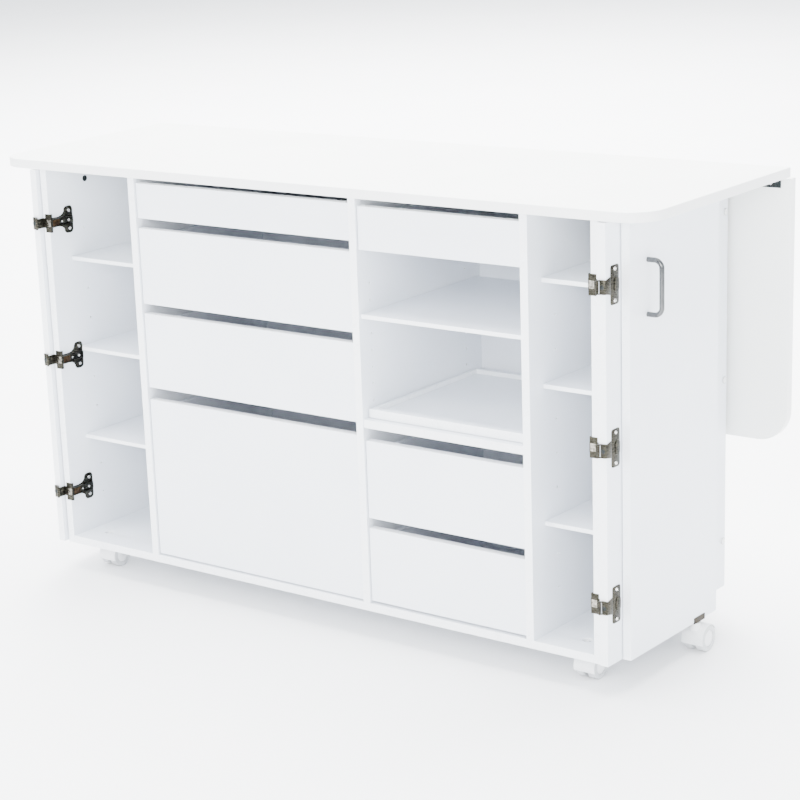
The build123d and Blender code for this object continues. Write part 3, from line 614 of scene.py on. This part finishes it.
def leaf_hinges():
    """Every moving hinge half and fold hinge, in place of the CAD's plain ones."""
    for side, word in SIDES:
        body = f"door_{word}_inner"

        def screws(bm, side=side):
            for z in HINGE_HEIGHTS:
                for up in (-1, 1):
                    spot = (side * (LEAF_FACE + FLANGE), FRONT + CUP_SCREW_BACK, z + up * CUP_SCREW_HALF)
                    screw_head(bm, spot, (side, 0, 0), CUP_SCREW_RADIUS)

        new_object(f"door_{word}_cup_screws", screws, NICKEL_BRIGHT, body)

        def steel(bm, side=side):
            for z in HINGE_HEIGHTS:
                add_cup_and_yoke(bm, side, z)
                add_fold_hinge(bm, side, z)

        formed = new_object(f"door_{word}_hinges_formed", steel, NICKEL_PAINTED_REFLECTION, body, bevel=0.3 * MM)
        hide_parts(f"door_{word}_inner_hinges")

        def yoke_screws(bm, side=side):
            for z in HINGE_HEIGHTS:
                spot = (side * (PIVOT.x + YOKE_SCREW_OUT), PIVOT.y + YOKE_FACE, z)
                lathe(bm, in_metres(YOKE_SCREW), spot, (0, -1, 0), YOKE_SCREW_STEPS)

        new_object(f"door_{word}_yoke_screws", yoke_screws, DARK_STEEL, body)

        def housings(bm, side=side):
            for z in HINGE_HEIGHTS:
                top = LEAF_FACE + FLANGE
                prism(bm, panel_patch(z, **HOUSING_PATCH), side * (top - 2 * SINK),
                      side * (top + HOUSING_RISE), 0)

        new_object(f"door_{word}_cup_housings", housings, NICKEL_PAINTED_REFLECTION, body, bevel=0.5 * MM)


leaf_hinges()


# ---------------------------------------------------------------------------
# Long hinge screws
# ---------------------------------------------------------------------------
LONG_HINGE_SCREWS = 14
LONG_HINGE_END = 20 * MM
LONG_HINGE_LEAF = 1.2 * MM
LONG_HINGE_ROW = 7 * MM
LONG_HINGE_SCREW_RADIUS = 2.6 * MM


def long_hinge_screws():
    low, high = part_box("leaf_hinge_moving")
    fixed_low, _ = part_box("leaf_hinge_fixed")
    leaf_low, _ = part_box("drop_leaf")
    half = high.x - LONG_HINGE_END
    places = [-half + 2 * half * i / (LONG_HINGE_SCREWS - 1) for i in range(LONG_HINGE_SCREWS)]

    def moving(bm):
        for x in places:
            spot = (x, leaf_low.y - LONG_HINGE_LEAF, low.z + LONG_HINGE_ROW)
            screw_head(bm, spot, (0, -1, 0), LONG_HINGE_SCREW_RADIUS)

    def fixed(bm):
        for x in places:
            spot = (x, fixed_low.y + LONG_HINGE_ROW, UNDERSIDE - LONG_HINGE_LEAF)
            screw_head(bm, spot, (0, 0, -1), LONG_HINGE_SCREW_RADIUS)

    new_object("leaf_hinge_moving_screws", moving, NICKEL_BRIGHT, "drop_leaf")
    new_object("leaf_hinge_fixed_screws", fixed, NICKEL_BRIGHT, "cabinet")


long_hinge_screws()


# ---------------------------------------------------------------------------
# Casters
# ---------------------------------------------------------------------------
CASTERS = ("front_left", "front_right", "rear_left", "rear_right", "door_left", "door_right")
HUB_CAP = ((15.6, -1.5), (15.6, 0.2), (14.6, 0.9), (9, 1.6), (4.5, 1.8), (4.2, 1.2), (0, 1.1))
HUB_CAP_SINK = 1.6 * MM
HUB_CAP_STEPS = 32


def caster_hub_caps():
    """A low domed cap in the outer face of each wheel."""
    for name in CASTERS:
        low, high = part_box(f"caster_{name}_wheels")
        centre = (low + high) / 2

        def caps(bm, low=low, high=high, centre=centre):
            for way, face in ((-1, low.x), (1, high.x)):
                spot = (face - way * HUB_CAP_SINK, centre.y, centre.z)
                lathe(bm, in_metres(HUB_CAP), spot, (way, 0, 0), HUB_CAP_STEPS)

        new_object(f"caster_{name}_hub_caps", caps, WHITE_PLASTIC, f"caster_{name}_roll")


caster_hub_caps()


# ---------------------------------------------------------------------------
# Bolt caps on the rear fins, joint bolts in the side panels
# ---------------------------------------------------------------------------
FIN_CAP = ((6.8, 0.1), (6.8, 1.8), (6, 2.7), (3, 3.2), (0, 3.3))
FIN_CAP_HEIGHTS = (154, 474, 794)
FIN_CAP_BACK = 469 * MM
FIN_CAP_STEPS = 24
JOINT_BOLT = ((6.5, -0.2), (6.5, 0.8), (5.2, 1.6), (2.6, 1.6), (2.4, 0.6), (0, 0.5))
JOINT_BOLT_HEIGHT = 826 * MM
JOINT_BOLT_BACK = 111 * MM
JOINT_BOLT_STEPS = 20


def panel_fasteners():
    _, fin_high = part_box("rear_fins")

    def caps(bm):
        for side, _ in SIDES:
            for height in FIN_CAP_HEIGHTS:
                spot = (side * fin_high.x, FRONT + FIN_CAP_BACK, height * MM)
                lathe(bm, in_metres(FIN_CAP), spot, (side, 0, 0), FIN_CAP_STEPS)

    new_object("fin_bolt_caps", caps, WHITE_PLASTIC, "cabinet")

    def bolts(bm):
        for side, _ in SIDES:
            spot = (side * INNER, FRONT + JOINT_BOLT_BACK, JOINT_BOLT_HEIGHT)
            lathe(bm, in_metres(JOINT_BOLT), spot, (-side, 0, 0), JOINT_BOLT_STEPS)

    new_object("side_joint_bolts", bolts, DARK_STEEL, "cabinet")


panel_fasteners()


# ---------------------------------------------------------------------------
# Floor, light and camera
# ---------------------------------------------------------------------------
FLOOR_HALF = 14
FLOOR_THICKNESS = 0.02
SKY_COLOR = (0.88, 0.935, 1.0, 1)
SKY_STRENGTH = 2.3

CAMERA_PLACE = (2.6842, -3.4887, 1.5886)
CAMERA_AZIMUTH = math.radians(40.421)
CAMERA_ELEVATION = math.radians(17.080)
CAMERA_ROLL = math.radians(-2.967)
CAMERA_LENS = 102.6
CAMERA_SENSOR = 36
CAMERA_SHIFT = (0.15678, 0.10597)
CAMERA_FAR = 60


def build_stage():
    mesh = bpy.data.meshes.new("floor")
    bm = bmesh.new()
    prism(bm, rectangle(-FLOOR_HALF, FLOOR_HALF, -FLOOR_HALF, FLOOR_HALF), -FLOOR_THICKNESS, 0, 2)
    bmesh.ops.recalc_face_normals(bm, faces=bm.faces)
    bm.to_mesh(mesh)
    bm.free()
    mesh.materials.append(paper("floor", dark=(0.94, 0.94, 0.945), light=(0.96, 0.96, 0.965), rough=0.6))
    floor = bpy.data.objects.new("floor", mesh)
    bpy.context.scene.collection.objects.link(floor)

    world = bpy.data.worlds.new("studio")
    world.use_nodes = True
    background = world.node_tree.nodes["Background"]
    background.inputs["Color"].default_value = SKY_COLOR
    background.inputs["Strength"].default_value = SKY_STRENGTH
    bpy.context.scene.world = world


def area_light(name, place, target, size, watts, color=(1, 1, 1)):
    light = bpy.data.lights.new(name, "AREA")
    light.shape = "SQUARE"
    light.size = size
    light.energy = watts
    light.color = color
    obj = bpy.data.objects.new(name, light)
    obj.location = place
    obj.rotation_euler = (Vector(target) - Vector(place)).to_track_quat("-Z", "Y").to_euler()
    bpy.context.scene.collection.objects.link(obj)


def build_camera():
    """The camera, from its place, heading, tilt and roll."""
    heading = Vector((-math.sin(CAMERA_AZIMUTH), math.cos(CAMERA_AZIMUTH), 0))
    level = Vector((math.cos(CAMERA_AZIMUTH), math.sin(CAMERA_AZIMUTH), 0))
    look = heading * math.cos(CAMERA_ELEVATION) - Vector((0, 0, math.sin(CAMERA_ELEVATION)))
    up = level.cross(look)
    right = level * math.cos(CAMERA_ROLL) + up * math.sin(CAMERA_ROLL)
    top = up * math.cos(CAMERA_ROLL) - level * math.sin(CAMERA_ROLL)
    data = bpy.data.cameras.new("camera")
    data.sensor_width = CAMERA_SENSOR
    data.lens = CAMERA_LENS
    data.shift_x, data.shift_y = CAMERA_SHIFT
    data.clip_end = CAMERA_FAR
    camera = bpy.data.objects.new("camera", data)
    matrix = Matrix((right, top, -look)).transposed().to_4x4()
    matrix.translation = Vector(CAMERA_PLACE)
    camera.matrix_world = matrix
    bpy.context.scene.collection.objects.link(camera)
    bpy.context.scene.camera = camera


build_stage()
area_light("flash", place=(2.0, -3.6, 1.75), target=(0.1, -0.1, 0.5), size=1.6, watts=230)
area_light("key", place=(-1.4, -3.2, 3.0), target=(0, 0, 0.4), size=2.6, watts=170)
area_light("side", place=(3.8, -0.8, 1.6), target=(0.6, 0, 0.4), size=2.0, watts=40)
area_light("rear", place=(0.5, 3.4, 3.0), target=(0, 0, 0.5), size=2.4, watts=120)
area_light("overhead", place=(-0.4, 0.6, 5.0), target=(-0.4, 0.6, 0), size=5.0, watts=1300,
           color=(1.0, 0.99, 0.97))
area_light("backdrop", place=(-4.0, 5.5, 4.5), target=(-4.0, 5.5, 0), size=6.0, watts=2400)
build_camera()
